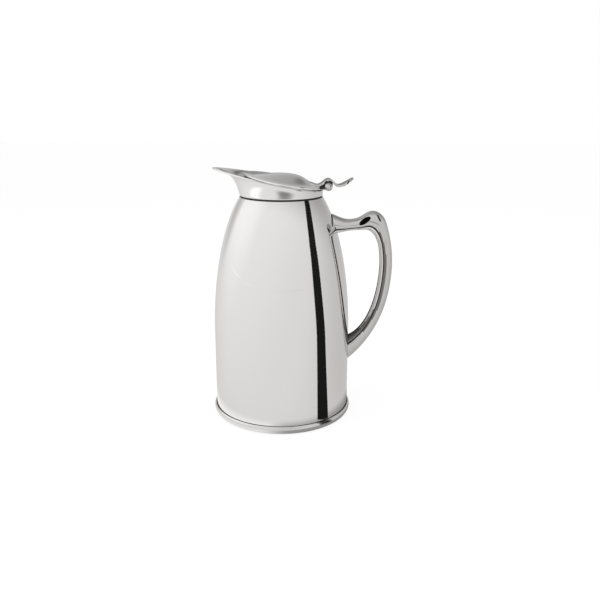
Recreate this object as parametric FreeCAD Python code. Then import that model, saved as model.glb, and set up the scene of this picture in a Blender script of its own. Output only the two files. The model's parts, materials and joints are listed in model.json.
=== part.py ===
import FreeCAD, Part
import math
import os

# A vacuum-walled steel jug with a hinged lid, in millimetres.
# The origin is on the body's axis, on the surface that the jug stands on. +Z is up, the spout points
# to -X and the handle to +X, and the plane y = 0 halves the jug.

V = FreeCAD.Vector
UP = V(0, 0, 1)
ACROSS = V(0, 1, 0)

# Fits
fit_gap = 0.05              # brazed, pressed and glued joints
pin_running_gap = 0.05      # the lid's cheeks on the hinge pin
side_play = 0.3             # between the knuckles, along the pin

# Body shell
body_radius = 60.5
body_straight_top = 80.0    # height at which the side starts to curve in
shoulder_height = 196.8     # top of the shoulder
shoulder_lean = 31.8        # degrees off upright at the top of the shoulder
shoulder_low_pull = 30.0    # how far the curve stays upright at its lower end
shoulder_high_pull = 36.4   # how far it keeps its lean at its upper end
shell_wall = 0.6

# Foot ring and underside
foot_height = 7.5
foot_bead = 2.0             # how far the bead stands out from the body
foot_bead_height = 3.3      # of the bead's widest line
foot_toe_inset = 2.0        # of the bead's lower end from the body's side
foot_edge_width = 0.9       # the bead's flat land at its top
foot_ledge = 2.0            # thickness of the ledge under the shell
foot_ledge_width = 5.0
base_sheet = 0.6
base_disc_height = 8.6
base_flange_gap = 0.4       # between the base disc's flange and the bottom cover
seal_radius = 2.0
seal_head_radius = 3.5
seal_head_height = 1.2
getter_radius = 5.0
getter_height = 3.0
getter_offset = 28.0        # from the jug's axis
getter_clip_wall = 0.5

# Vacuum space and liner
vacuum_gap = 6.0
liner_wall = 0.5
liner_floor_height = 19.0   # underside of the liner's floor
liner_corner = 8.0
liner_shoulder_drop = 5.0   # the liner's shoulder lies this far under the shell's
foil_thickness = 0.3
foil_end_margin = 4.0

# Neck, gasket and collar
neck_height = 4.2
neck_gap = 0.6              # vacuum gap between the two necks
neck_ring_thickness = 0.8
gasket_height = 1.6
gasket_recess = 0.7         # how far the gasket lies back from the collar's wall
gasket_sleeve_wall = 0.8
gasket_sleeve_height = 2.0
collar_radius = 36.0
collar_wall = 1.2
collar_rear_height = 4.0
rim_flare = 1.3             # how far the rim stands out past the collar's foot at the sides
lip_reach = 23.0            # and at the tip of the lip
spout_rise = 17.6           # the tip above the rear of the rim
spout_point = 1.5           # 2 is an ellipse, less is more pointed
throat_low = (0.143, 0.61)  # shares of the wall's reach and rise where the throat starts to flare
throat_high = (0.32, 0.935)  # and where it has turned into the lip

# Lid
lid_seat = 1.5              # underside of the lid's flange above the rim's plane
lid_sheet = 0.9
lid_rear_inset = 0.8        # of the lid's edge from the collar's wall, behind
lid_front_inset = 3.0       # and in front, where the drink flows out
lid_side_inset = 0.9        # of the lid's edge from the rim, at the sides
lid_flange_width = 3.0
dome_height = 6.5
dome_apex_setback = 11.0    # the dome's top lies this far behind the jug's axis
pan_inset = 6.5             # of the pan's wall from the lid's edge
pan_depth = 2.0             # under the rim's plane
pan_wall = 0.7

# Hinge
hinge_setback = 4.6         # pin's axis behind the collar's wall
hinge_rise = 3.6            # pin's axis above the rear of the rim
pin_radius = 1.5
barrel_radius = 3.5
barrel_length = 8.6
bracket_arm = 1.2           # thickness of the arm that lies on the collar's rim
bracket_tongue = 0.7        # thickness of the tongue inside the collar
bracket_tongue_gap = 0.3    # between the tongue's end and the gasket's sleeve
cheek_width = 2.6
cap_radius = 3.4
cap_flat = 2.0              # the cap's flat face from the ball's centre

# Lid lever, bent from strip over the pin
strip = 1.6
arch_radius = 4.4           # of the strip's inside over the pin
arch_spread = 60.0          # degrees from the top of the arch to where it straightens
strap_reach = 22.0          # from the pin to the strap's end on the dome
strap_half_width = 4.0
valley_reach = 9.0          # from the pin to the low point in front of it
valley_drop = 0.4
leaf_dip_reach = 7.4        # from the pin to the low point behind it
leaf_dip = 0.4
leaf_length = 21.8          # from the pin to the leaf's tip
leaf_rise = 6.0
leaf_half_width = 7.8

# Handle, measured from the body's side and from its two roots
arm_drop = 24.4             # centre of the upper arm under the shoulder's top
lower_root_height = 57.5
grip_setback = 32.2         # centre of the grip from the body's side
grip_depth = 11.2
grip_width = 13.0
arm_depth = 9.8
rise_depth = 17.2
rise_width = 15.0
upper_root_depth = 19.0
lower_root_depth = 23.0
root_width = 18.0
root_sink = 18.0            # how far the roots run in before the body's side cuts them
handle_wall = 1.2
handle_fullness = 0.03      # 0 is an elliptic section, more is squarer
end_plate = 1.5
slot_length = 12.4
slot_width = 4.0
slot_tilt = 35.0
slot_setback = 11.8         # slot's centre from the body's side
slot_rise = 3.2             # slot's centre above the arm's centre

# Worked out from the sizes above
rim_half_width = collar_radius + rim_flare
spout_reach = collar_radius + lip_reach     # from the jug's axis to the tip of the lip
lid_rear_reach = collar_radius - lid_rear_inset
lid_front_reach = collar_radius - lid_front_inset
lid_half_width = rim_half_width - lid_side_inset
collar_bottom = shoulder_height + gasket_height
rim_rear_height = collar_bottom + collar_rear_height
rim_tilt = math.degrees(math.atan2(spout_rise, spout_reach + collar_radius))
rim_mid_height = rim_rear_height + collar_radius * spout_rise / (spout_reach + collar_radius)
collar_bore = collar_radius - collar_wall
shell_neck_radius = collar_bore - gasket_sleeve_wall - 2 * fit_gap
neck_top = shoulder_height + neck_height
liner_radius = body_radius - shell_wall - vacuum_gap
liner_neck_radius = shell_neck_radius - shell_wall - neck_gap
liner_neck_bore = liner_neck_radius - liner_wall
shell_bottom = foot_ledge
shell_bore = body_radius - shell_wall
base_disc_top = base_disc_height + base_sheet
hinge_x = collar_radius + hinge_setback
hinge_z = rim_rear_height + hinge_rise
cheek_start = barrel_length / 2 + side_play
cheek_end = cheek_start + cheek_width
arm_height = shoulder_height - arm_drop


def line(start, end):
    return Part.LineSegment(start, end).toShape()


def outline_edges(points):
    """Straight edges from point to point."""
    return [line(a, b) for a, b in zip(points, points[1:])]


def turned(edges):
    """The solid that a closed outline in the plane y = 0 sweeps round the jug's axis."""
    face = Part.Face(Part.Wire(edges))
    return face.revolve(V(0, 0, 0), UP, 360)


def ring(inner, outer, bottom, top):
    """A plain ring, or a disc where inner is 0."""
    corners = [V(inner, 0, bottom), V(outer, 0, bottom), V(outer, 0, top), V(inner, 0, top)]
    return turned(outline_edges(corners + corners[:1]))


def closed_curve(points):
    """A smooth closed curve through the points."""
    curve = Part.BSplineCurve()
    curve.interpolate(Points=points, PeriodicFlag=True, Parameters=list(range(len(points) + 1)))
    return curve


def flat_face(curve):
    return Part.Face(Part.Wire([curve.toShape()]))


def skin(curves):
    """A smooth face through a row of closed curves."""
    surface = Part.BSplineSurface()
    surface.buildFromNSections(curves)
    return surface.toShape()


def solid_within(faces):
    """The solid that the faces enclose."""
    shell = Part.Shell(faces)
    shell.sewShape()
    solid = Part.Solid(shell)
    if solid.Volume < 0:
        solid.reverse()
    return solid


def skinned_solid(curves):
    """The solid with a smooth skin through the curves, closed flat at its first and last one."""
    return solid_within([skin(curves), flat_face(curves[0]), flat_face(curves[-1])])


def rod(radius, start, end, x, z):
    """A round bar along Y."""
    return Part.makeCylinder(radius, end - start, V(x, start, z), ACROSS)


def block(low, high):
    size = high - low
    return Part.makeBox(size.x, size.y, size.z, low)


def mirrored(shape):
    """The shape on the other side of the jug's middle plane."""
    return shape.mirror(V(0, 0, 0), ACROSS)


def side_edges(side_radius, neck_radius, bottom, top):
    """The body's side, straight and then curving in to the neck, from the bottom up."""
    lean = math.radians(shoulder_lean)
    start = V(side_radius, 0, body_straight_top)
    end = V(neck_radius, 0, top)
    curve = Part.BezierCurve()
    curve.setPoles([
        start,
        start + UP * shoulder_low_pull,
        end + V(math.sin(lean), 0, -math.cos(lean)) * shoulder_high_pull,
        end,
    ])
    return [line(V(side_radius, 0, bottom), start), curve.toShape()]


def body_block(growth):
    """The space inside the body's outside, grown by a little, as one filled solid."""
    bottom = V(body_radius + growth, 0, shell_bottom)
    top = V(collar_radius + growth, 0, shoulder_height)
    edges = side_edges(bottom.x, top.x, bottom.z, top.z)
    edges += outline_edges([top, V(0, 0, top.z), V(0, 0, bottom.z), bottom])
    return turned(edges)


def outer_shell():
    neck_bore = shell_neck_radius - shell_wall
    ledge_bore = collar_radius - shell_wall
    ledge_underside = shoulder_height - shell_wall
    outside = side_edges(body_radius, collar_radius, shell_bottom, shoulder_height)
    over_neck = outline_edges([
        V(collar_radius, 0, shoulder_height),
        V(shell_neck_radius, 0, shoulder_height),
        V(shell_neck_radius, 0, neck_top),
        V(neck_bore, 0, neck_top),
        V(neck_bore, 0, ledge_underside),
        V(ledge_bore, 0, ledge_underside),
    ])
    inside = side_edges(shell_bore, ledge_bore, shell_bottom, ledge_underside)
    underside = [line(V(shell_bore, 0, shell_bottom), V(body_radius, 0, shell_bottom))]
    return turned(outside + over_neck + inside[::-1] + underside)


def vessel_edges(inset):
    """The liner's outside, or its inside when inset by its wall, from the axis to the neck's top."""
    radius = liner_radius - inset
    corner = liner_corner - inset
    floor = liner_floor_height + inset
    neck = liner_neck_radius - inset
    neck_start = shoulder_height - liner_shoulder_drop
    bend = V(radius - corner, 0, floor + corner)
    diagonal = V(math.sqrt(0.5), 0, -math.sqrt(0.5)) * corner
    rounding = Part.Arc(V(bend.x, 0, floor), bend + diagonal, V(radius, 0, bend.z)).toShape()
    edges = [line(V(0, 0, floor), V(bend.x, 0, floor)), rounding]
    edges += side_edges(radius, neck, bend.z, neck_start)
    return edges + [line(V(neck, 0, neck_start), V(neck, 0, neck_top))]


def inner_liner():
    outside = vessel_edges(0)
    inside = vessel_edges(liner_wall)
    lip = [line(V(liner_neck_radius, 0, neck_top), V(liner_neck_bore, 0, neck_top))]
    axis = [line(V(0, 0, liner_floor_height + liner_wall), V(0, 0, liner_floor_height))]
    return turned(outside + lip + inside[::-1] + axis)


def radiation_foil():
    inner = liner_radius + fit_gap
    bottom = liner_floor_height + liner_corner + foil_end_margin
    return ring(inner, inner + foil_thickness, bottom, body_straight_top - foil_end_margin)


def neck_ring():
    return ring(liner_neck_bore, shell_neck_radius, neck_top, neck_top + neck_ring_thickness)


def shell_base():
    """The disc that closes the vacuum space, with a flange down inside the shell."""
    outer = shell_bore - fit_gap
    flange_bottom = foot_ledge + base_sheet + base_flange_gap
    corners = [
        V(seal_radius, 0, base_disc_height),
        V(outer - base_sheet, 0, base_disc_height),
        V(outer - base_sheet, 0, flange_bottom),
        V(outer, 0, flange_bottom),
        V(outer, 0, base_disc_top),
        V(seal_radius, 0, base_disc_top),
    ]
    return turned(outline_edges(corners + corners[:1]))


def seal_plug():
    stem = ring(0, seal_radius - fit_gap, base_disc_height, base_disc_top)
    head = ring(0, seal_head_radius, base_disc_height - seal_head_height, base_disc_height)
    return stem.fuse(head).removeSplitter()


def getter_clip():
    bore = getter_radius + fit_gap
    seat = base_disc_top + getter_clip_wall
    floor = ring(0, bore + getter_clip_wall, base_disc_top, seat)
    wall = ring(bore, bore + getter_clip_wall, seat, seat + getter_height)
    clip = floor.fuse(wall).removeSplitter()
    clip.translate(V(getter_offset, 0, 0))
    return clip


def getter_pellet():
    seat = base_disc_top + getter_clip_wall
    pellet = ring(0, getter_radius, seat, seat + getter_height)
    pellet.translate(V(getter_offset, 0, 0))
    return pellet


def base_cover():
    return ring(0, shell_bore - fit_gap, foot_ledge, foot_ledge + base_sheet)


def foot_ring():
    """A beaded ring: the shell stands on its ledge, and the bead rolls out from the floor to its top."""
    bore = body_radius + fit_gap
    belly = V(body_radius + foot_bead, 0, foot_bead_height)
    toe = V(body_radius - foot_toe_inset, 0, 0)
    crown = V(bore + foot_edge_width, 0, foot_height)
    bead = Part.Arc(toe, belly, crown).toShape()
    rest = outline_edges([
        crown,
        V(bore, 0, foot_height),
        V(bore, 0, foot_ledge),
        V(body_radius - foot_ledge_width, 0, foot_ledge),
        V(body_radius - foot_ledge_width, 0, 0),
        toe,
    ])
    return turned([bead] + rest)


def neck_gasket():
    """An angle ring: its foot lies between shoulder and collar, its sleeve between neck and collar."""
    inner = shell_neck_radius + fit_gap
    sleeve = inner + gasket_sleeve_wall
    sleeve_top = collar_bottom + gasket_sleeve_height
    corners = [
        V(inner, 0, shoulder_height),
        V(collar_radius - gasket_recess, 0, shoulder_height),
        V(collar_radius - gasket_recess, 0, collar_bottom),
        V(sleeve, 0, collar_bottom),
        V(sleeve, 0, sleeve_top),
        V(inner, 0, sleeve_top),
    ]
    return turned(outline_edges(corners + corners[:1]))


def rim_point(angle):
    """A point of the collar's rim: half an ellipse behind, drawn out to the lip's tip in front."""
    c = math.cos(angle)
    s = math.sin(angle)
    if c >= 0:
        x = collar_radius * c
        y = rim_half_width * s
    else:
        x = -spout_reach * abs(c) ** (2 / spout_point)
        y = math.copysign(rim_half_width * abs(s) ** (2 / spout_point), s)
    return V(x, y, rim_mid_height - x * math.tan(math.radians(rim_tilt)))


def blend(start, low, high, end, share):
    """A cubic curve's value between start and end, drawn towards low and high."""
    rest = 1 - share
    return rest ** 3 * start + 3 * rest ** 2 * share * low + 3 * rest * share ** 2 * high + share ** 3 * end


def collar_point(angle, share):
    """A point of the collar's outside, from its lower edge at share 0 to its rim at share 1."""
    rim = rim_point(angle)
    foot = V(rim.x, rim.y, 0).normalize() * collar_radius + UP * collar_bottom
    across = blend(0, throat_low[0], throat_high[0], 1, share)
    upward = blend(0, throat_low[1], throat_high[1], 1, share)
    span = rim - foot
    return foot + V(span.x * across, span.y * across, span.z * upward)


def collar_inside(angle, share):
    """The point one wall's thickness inside the collar's outside, square to its surface."""
    step = 0.001
    low = max(share - step, 0)
    high = min(share + step, 1)
    along = collar_point(angle + step, share) - collar_point(angle - step, share)
    up_wall = collar_point(angle, high) - collar_point(angle, low)
    outward = along.cross(up_wall).normalize()
    return collar_point(angle, share) - outward * collar_wall


def collar_curves(surface):
    """Closed curves round the collar, from its lower edge up to its rim."""
    turns = 32
    levels = 11
    angles = [2 * math.pi * n / turns for n in range(turns)]
    shares = [n / (levels - 1) for n in range(levels)]
    return [closed_curve([surface(a, share) for a in angles]) for share in shares]


def spout_collar():
    outside = collar_curves(collar_point)
    inside = collar_curves(collar_inside)
    faces = [skin(outside), skin(inside)]
    for end in (0, -1):
        faces.append(Part.makeRuledSurface(outside[end].toShape(), inside[end].toShape()))
    return solid_within(faces)


def on_rim_plane(shape):
    """Places a shape drawn on the plane z = 0 on the tilted plane of the collar's rim."""
    shape.Placement = FreeCAD.Placement(V(0, 0, rim_mid_height), FreeCAD.Rotation(ACROSS, rim_tilt))
    return shape


def lid_outline(inset, height):
    """The points of the lid's edge, or of a line inset from it."""
    turns = 32
    points = []
    for n in range(turns):
        c = math.cos(2 * math.pi * n / turns)
        s = math.sin(2 * math.pi * n / turns)
        reach = lid_rear_reach if c >= 0 else lid_front_reach
        points.append(V((reach - inset) * c, (lid_half_width - inset) * s, height))
    return points


def lid_plate(inset, bottom, top):
    """A flat plate with the lid's outline."""
    return flat_face(closed_curve(lid_outline(inset, bottom))).extrude(UP * (top - bottom))


def dome(flange_face):
    """The bell-shaped dome: copies of its outline drawn in towards the apex as they rise.

    Its foot lies a little under the flange's face, so that the two meet at an angle.
    """
    foot = flange_face - lid_sheet / 3
    apex = V(dome_apex_setback, 0, foot)
    outline = lid_outline(lid_flange_width, foot)
    levels = 12
    curves = []
    for share in [1 - n / levels for n in range(levels)]:
        rise = UP * (dome_height * (1 - share ** 2) ** 2)
        curves.append(closed_curve([apex + (point - apex) * share + rise for point in outline]))
    return skinned_solid(curves)


def lid_block(lift):
    """The lid's outside as one filled solid, raised by a little."""
    flange = lid_plate(0, lid_seat, lid_seat + lid_sheet)
    solid = flange.fuse(dome(lid_seat + lid_sheet))
    solid.translate(UP * lift)
    return solid


def lid_cap():
    return on_rim_plane(lid_block(0).cut(dome(lid_seat)))


def lid_pan():
    tray = lid_plate(pan_inset, -pan_depth, lid_seat)
    hollow = lid_plate(pan_inset + pan_wall, pan_wall - pan_depth, lid_seat + lid_sheet)
    return on_rim_plane(tray.cut(hollow))


def lid_insulation():
    return on_rim_plane(lid_plate(pan_inset + pan_wall + fit_gap, pan_wall - pan_depth, lid_seat))


def hinge_point(back, rise):
    """A point of the middle plane, measured from the pin's axis."""
    return V(hinge_x + back, 0, hinge_z + rise)


def bent_strip():
    """The lever's strip before its outline is cut, bent from the dome over the pin to the leaf's tip."""
    spread = math.radians(arch_spread)
    foot_back = arch_radius * math.sin(spread)
    foot_rise = arch_radius * math.cos(spread)
    bends = [
        hinge_point(-strap_reach, hinge_rise),
        hinge_point(-(strap_reach + valley_reach) / 2, hinge_rise / 3),
        hinge_point(-valley_reach, -valley_drop),
        hinge_point(-foot_back, foot_rise),
        hinge_point(0, arch_radius),
        hinge_point(foot_back, foot_rise),
        hinge_point(leaf_dip_reach, -leaf_dip),
        hinge_point((leaf_dip_reach + leaf_length) / 2, leaf_rise / 5),
        hinge_point(leaf_length, leaf_rise),
    ]
    underside = Part.BSplineCurve()
    underside.interpolate(bends)
    raised = []
    for bend in bends:
        along = underside.tangent(underside.parameter(bend))[0]
        raised.append(bend + along.cross(ACROSS).normalize() * strip)
    top = Part.BSplineCurve()
    top.interpolate(raised)
    edges = [underside.toShape(), line(bends[-1], raised[-1]), top.toShape(), line(raised[0], bends[0])]
    half = leaf_half_width + strip
    sheet = Part.Face(Part.Wire(edges)).extrude(ACROSS * half * 2)
    sheet.translate(ACROSS * -half)
    return sheet


def lever_plan():
    """The lever's outline seen from above: a strap, broad at the cheeks, then a round-ended leaf."""
    low = rim_rear_height - collar_rear_height
    edge = [
        (-strap_reach, 0),
        (-strap_reach + strap_half_width / 2, strap_half_width),
        (-valley_reach, (strap_half_width + cheek_end) / 2),
        (0, cheek_end),
        (leaf_dip_reach, (strap_half_width + leaf_half_width) / 2),
        ((leaf_dip_reach + leaf_length) / 2, leaf_half_width),
        (leaf_length - strip, leaf_half_width / 2),
        (leaf_length, 0),
    ]
    far = [V(hinge_x + back, half, low) for back, half in edge]
    near = [V(hinge_x + back, -half, low) for back, half in edge[-2:0:-1]]
    return flat_face(closed_curve(far + near)).extrude(UP * (spout_rise + dome_height + leaf_rise))


def cheek():
    """The knuckle on one side of the bracket's barrel, running up into the strip."""
    eye = rod(barrel_radius, cheek_start, cheek_end, hinge_x, hinge_z)
    low = V(hinge_x - barrel_radius, cheek_start, hinge_z)
    high = V(hinge_x + barrel_radius, cheek_end, hinge_z + arch_radius + strip)
    under_arch = rod(arch_radius + strip / 2, cheek_start, cheek_end, hinge_x, hinge_z)
    return eye.fuse(block(low, high)).common(under_arch)


def lid_lever():
    knuckle = cheek()
    lever = bent_strip().common(lever_plan()).fuse(knuckle).fuse(mirrored(knuckle))
    bore = rod(pin_radius + pin_running_gap, -leaf_half_width, leaf_half_width, hinge_x, hinge_z)
    lever = lever.cut(bore).cut(on_rim_plane(lid_block(fit_gap)))
    return max(lever.Solids, key=lambda solid: solid.Volume)


def hinge_bracket():
    """The barrel round the pin's middle, on an arm over the collar's rear rim with a tongue inside it."""
    half = barrel_length / 2
    barrel = rod(barrel_radius, -half, half, hinge_x, hinge_z)
    tongue_face = collar_bore - fit_gap
    tongue_bottom = collar_bottom + gasket_sleeve_height + bracket_tongue_gap
    arm_bottom = collar_inside(math.asin(half / (rim_half_width - collar_wall)), 1).z + fit_gap
    arm_top = arm_bottom + bracket_arm
    arm = block(V(0, -half, arm_bottom), V(hinge_x, half, arm_top))
    tongue = block(V(0, -half, tongue_bottom), V(collar_radius, half, arm_bottom))
    tongue = tongue.common(ring(0, tongue_face, tongue_bottom, arm_bottom))
    inside = ring(0, tongue_face - bracket_tongue, collar_bottom, hinge_z)
    bore = rod(pin_radius + fit_gap, -half, half, hinge_x, hinge_z)
    return barrel.fuse(arm).fuse(tongue).cut(inside).cut(bore).removeSplitter()


def hinge_pin():
    end = cheek_end + side_play + cap_radius
    return rod(pin_radius, -end, end, hinge_x, hinge_z)


def pin_cap():
    """A ball end with a flat face towards the cheek and a blind hole for the pin."""
    face = cheek_end + side_play
    centre = face + cap_flat
    ball = Part.makeSphere(cap_radius, V(hinge_x, centre, hinge_z))
    inner = block(
        V(hinge_x - cap_radius, centre - cap_radius, hinge_z - cap_radius),
        V(hinge_x + cap_radius, face, hinge_z + cap_radius),
    )
    hole = rod(pin_radius + fit_gap, face, face + cap_radius, hinge_x, hinge_z)
    return ball.cut(inner).cut(hole)


def pin_caps():
    cap = pin_cap()
    return Part.makeCompound([cap, mirrored(cap)])


def handle_stations():
    """Sections of the handle from its upper root round to its lower one.

    Each is its centre's distance from the body's side, its height, the lean in degrees of the line from
    the finger side to the outside, its depth along that line, and its width. Places and depths are
    shares of the handle's main sizes.
    """
    span = arm_height - lower_root_height
    root_mean = (root_width + grip_width) / 2
    return [
        (-root_sink - body_radius / 6, arm_height + 0.15 * arm_depth, -10, upper_root_depth, root_width),
        (-root_sink, arm_height + 0.1 * arm_depth, -9, upper_root_depth, root_width),
        (-0.165 * grip_setback, arm_height - 0.04 * arm_depth, -7, 1.14 * arm_depth, root_mean),
        (0.093 * grip_setback, arm_height, -6, arm_depth, grip_width),
        (0.31 * grip_setback, arm_height + 0.15 * arm_depth, -3, 0.7 * rise_depth, rise_width),
        (0.534 * grip_setback, arm_height + 0.35 * arm_depth, 9, rise_depth, rise_width),
        (0.725 * grip_setback, arm_height + 0.05 * arm_depth, 24, 1.05 * rise_depth, rise_width),
        (0.866 * grip_setback, arm_height - 0.064 * span, 34, 1.4 * grip_depth, grip_width),
        (0.953 * grip_setback, arm_height - 0.16 * span, 55, 1.1 * grip_depth, grip_width),
        (grip_setback, arm_height - 0.31 * span, 83, grip_depth, grip_width),
        (0.964 * grip_setback, arm_height - 0.458 * span, 98, grip_depth, grip_width),
        (0.842 * grip_setback, arm_height - 0.626 * span, 106, grip_depth, grip_width),
        (0.654 * grip_setback, arm_height - 0.761 * span, 115, grip_depth, grip_width),
        (0.427 * grip_setback, lower_root_height + 0.135 * span, 138, 1.13 * grip_depth, grip_width),
        (0.16 * grip_setback, lower_root_height + 0.053 * span, 166, 0.75 * lower_root_depth, root_mean),
        (-0.2 * root_sink, lower_root_height, 181, lower_root_depth, root_width),
        (-root_sink, lower_root_height - 0.13 * lower_root_depth, 185, 1.2 * lower_root_depth, root_width),
    ]


def handle_edges():
    """Smooth curves through the stations' finger-side ends and outer ends.

    The outer curve's y carries half the handle's width.
    """
    finger_side = []
    outside = []
    run = [0]
    for outward, height, lean, depth, width in handle_stations():
        centre = V(body_radius + outward, 0, height)
        to_outside = V(math.sin(math.radians(lean)), 0, math.cos(math.radians(lean))) * depth / 2
        if finger_side:
            last_centre = (finger_side[-1] + V(outside[-1].x, 0, outside[-1].z)) / 2
            run.append(run[-1] + centre.distanceToPoint(last_centre))
        finger_side.append(centre - to_outside)
        outside.append(centre + to_outside + ACROSS * width / 2)
    finger_curve = Part.BSplineCurve()
    finger_curve.interpolate(Points=finger_side, Parameters=run)
    outer_curve = Part.BSplineCurve()
    outer_curve.interpolate(Points=outside, Parameters=run)
    return finger_curve, outer_curve, run[-1]


def handle_loft(inset):
    """The handle's outside as a filled solid, or the same solid inset by its wall."""
    turns = 24
    sections = 60
    finger_curve, outer_curve, run = handle_edges()
    curves = []
    for k in range(sections + 1):
        inner = finger_curve.value(run * k / sections)
        outer = outer_curve.value(run * k / sections)
        half_width = outer.y - inset
        outer.y = 0
        half_depth = (outer - inner) / 2
        half_depth -= V(half_depth).normalize() * inset
        points = []
        for n in range(turns):
            angle = 2 * math.pi * n / turns
            c = (math.cos(angle) - handle_fullness * math.cos(3 * angle)) / (1 - handle_fullness)
            s = (math.sin(angle) + handle_fullness * math.sin(3 * angle)) / (1 - handle_fullness)
            points.append((inner + outer) / 2 + half_depth * c + ACROSS * half_width * s)
        curves.append(closed_curve(points))
    return skinned_solid(curves)


def vent_slot():
    """An oval bar through the near wall of the handle, at the foot of the thumb rise."""
    centre = V(body_radius + slot_setback, 0, arm_height + slot_rise)
    tilt = math.radians(slot_tilt)
    to_end = V(math.cos(tilt), 0, math.sin(tilt)) * (slot_length - slot_width) / 2
    outer = -root_width
    inner = -rise_width / 4
    first = rod(slot_width / 2, outer, inner, (centre + to_end).x, (centre + to_end).z)
    second = rod(slot_width / 2, outer, inner, (centre - to_end).x, (centre - to_end).z)
    bar = Part.makeBox(slot_length - slot_width, inner - outer, slot_width)
    bar.translate(V(-(slot_length - slot_width) / 2, outer, -slot_width / 2))
    bar.rotate(V(0, 0, 0), ACROSS, -slot_tilt)
    bar.translate(V(centre.x, 0, centre.z))
    return first.fuse(second).fuse(bar)


def handle_far_half():
    hollow_handle = handle_loft(0).cut(handle_loft(handle_wall)).cut(body_block(fit_gap))
    reach = body_radius + grip_setback + rise_depth
    far_side = block(V(0, 0, 0), V(reach, root_width, shoulder_height))
    return hollow_handle.common(far_side)


def handle_near_half():
    return mirrored(handle_far_half()).cut(vent_slot())


def handle_end_plates():
    """Plates inside the handle's two open ends, bent to the body's side."""
    core = handle_loft(handle_wall + fit_gap)
    plates = core.common(body_block(fit_gap + end_plate)).cut(body_block(fit_gap))
    return Part.makeCompound(plates.Solids)


subparts = {
    "outer_shell": outer_shell,
    "inner_liner": inner_liner,
    "radiation_foil": radiation_foil,
    "neck_ring": neck_ring,
    "shell_base": shell_base,
    "seal_plug": seal_plug,
    "getter_clip": getter_clip,
    "getter_pellet": getter_pellet,
    "base_cover": base_cover,
    "foot_ring": foot_ring,
    "neck_gasket": neck_gasket,
    "spout_collar": spout_collar,
    "hinge_bracket": hinge_bracket,
    "hinge_pin": hinge_pin,
    "pin_caps": pin_caps,
    "handle_near_half": handle_near_half,
    "handle_far_half": handle_far_half,
    "handle_end_plates": handle_end_plates,
    "lid_cap": lid_cap,
    "lid_pan": lid_pan,
    "lid_insulation": lid_insulation,
    "lid_lever": lid_lever,
}

os.makedirs("parts", exist_ok=True)
for name, make in subparts.items():
    shape = make()
    shape.exportStep(f"parts/{name}.step")
    box = shape.BoundBox
    print(f"{name}: {len(shape.Solids)} solids, {shape.Volume:.1f} mm3, valid {shape.isValid()},",
          f"x {box.XMin:.1f} to {box.XMax:.1f}, z {box.ZMin:.1f} to {box.ZMax:.1f}")
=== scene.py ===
# %% [markdown]
# # A mirror-polished thermal jug
# The jug is a double-walled steel bottle for serving hot drinks, with a pouring lip, a flap lid that swings on a
# pin, and a hollow loop handle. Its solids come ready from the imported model. This file gives every surface its
# finish, and remakes the polished pieces and the gasket as smooth meshes, because a mirror shows each flat facet
# of a plain solid. Pieces keep the solids' places and sizes, which are written here in millimetres.

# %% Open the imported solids
import json
import math
import bmesh
import bpy
import numpy as np
from mathutils import Matrix, Vector
from mathutils.geometry import interpolate_bezier

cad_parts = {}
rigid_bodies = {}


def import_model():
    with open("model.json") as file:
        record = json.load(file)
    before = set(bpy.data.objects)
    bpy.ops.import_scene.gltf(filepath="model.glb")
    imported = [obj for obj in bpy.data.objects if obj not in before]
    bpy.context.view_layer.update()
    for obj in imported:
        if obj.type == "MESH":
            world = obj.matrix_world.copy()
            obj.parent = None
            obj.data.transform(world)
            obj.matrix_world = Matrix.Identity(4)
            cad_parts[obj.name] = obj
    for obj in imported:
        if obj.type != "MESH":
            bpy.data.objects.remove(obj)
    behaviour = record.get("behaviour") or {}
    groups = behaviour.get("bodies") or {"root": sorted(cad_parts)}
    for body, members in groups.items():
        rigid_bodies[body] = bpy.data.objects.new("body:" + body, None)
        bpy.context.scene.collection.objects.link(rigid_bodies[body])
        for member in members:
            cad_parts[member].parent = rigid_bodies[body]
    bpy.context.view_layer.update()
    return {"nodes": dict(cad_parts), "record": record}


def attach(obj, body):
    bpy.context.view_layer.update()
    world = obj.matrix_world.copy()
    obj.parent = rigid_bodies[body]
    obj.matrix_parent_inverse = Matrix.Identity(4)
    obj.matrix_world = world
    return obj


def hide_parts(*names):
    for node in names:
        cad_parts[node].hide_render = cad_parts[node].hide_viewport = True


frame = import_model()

scene = bpy.context.scene
MM = 0.001

# %% [markdown]
# ## Smears on handled metal
# Handled metal is never quite even: fingers and cloths leave faint cloudy smears. They could be painted by hand on
# each piece. A small node group does it once for all: soft noise clouds a value between two ends, and each finish
# says which two.

# %% A node group for smears
def wire(tree, node, *placed, **named):
    """Links a node's inputs, by place or by name, to outputs, or sets them to constants."""
    slots = list(zip(node.inputs, placed))
    slots += [(node.inputs[name.replace("_", " ")], value) for name, value in named.items()]
    for slot, value in slots:
        if isinstance(value, bpy.types.NodeSocket):
            tree.links.new(value, slot)
        else:
            slot.default_value = value
    return node


def add_node(tree, kind, *placed, operation=None, **named):
    """A new shader node with its operation set and its inputs wired."""
    node = tree.nodes.new("ShaderNode" + kind)
    if operation:
        node.operation = operation
    return wire(tree, node, *placed, **named)


def new_group(name, result, kind, **inputs):
    """A node group with named inputs and one result, its given values and its end node."""
    group = bpy.data.node_groups.new(name, "ShaderNodeTree")
    for label, value in inputs.items():
        socket = "NodeSocketColor" if isinstance(value, tuple) else "NodeSocketFloat"
        group.interface.new_socket(name=label, in_out="INPUT", socket_type=socket).default_value = value
    group.interface.new_socket(name=result, in_out="OUTPUT", socket_type=kind)
    return group, group.nodes.new("NodeGroupInput").outputs, group.nodes.new("NodeGroupOutput")


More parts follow.
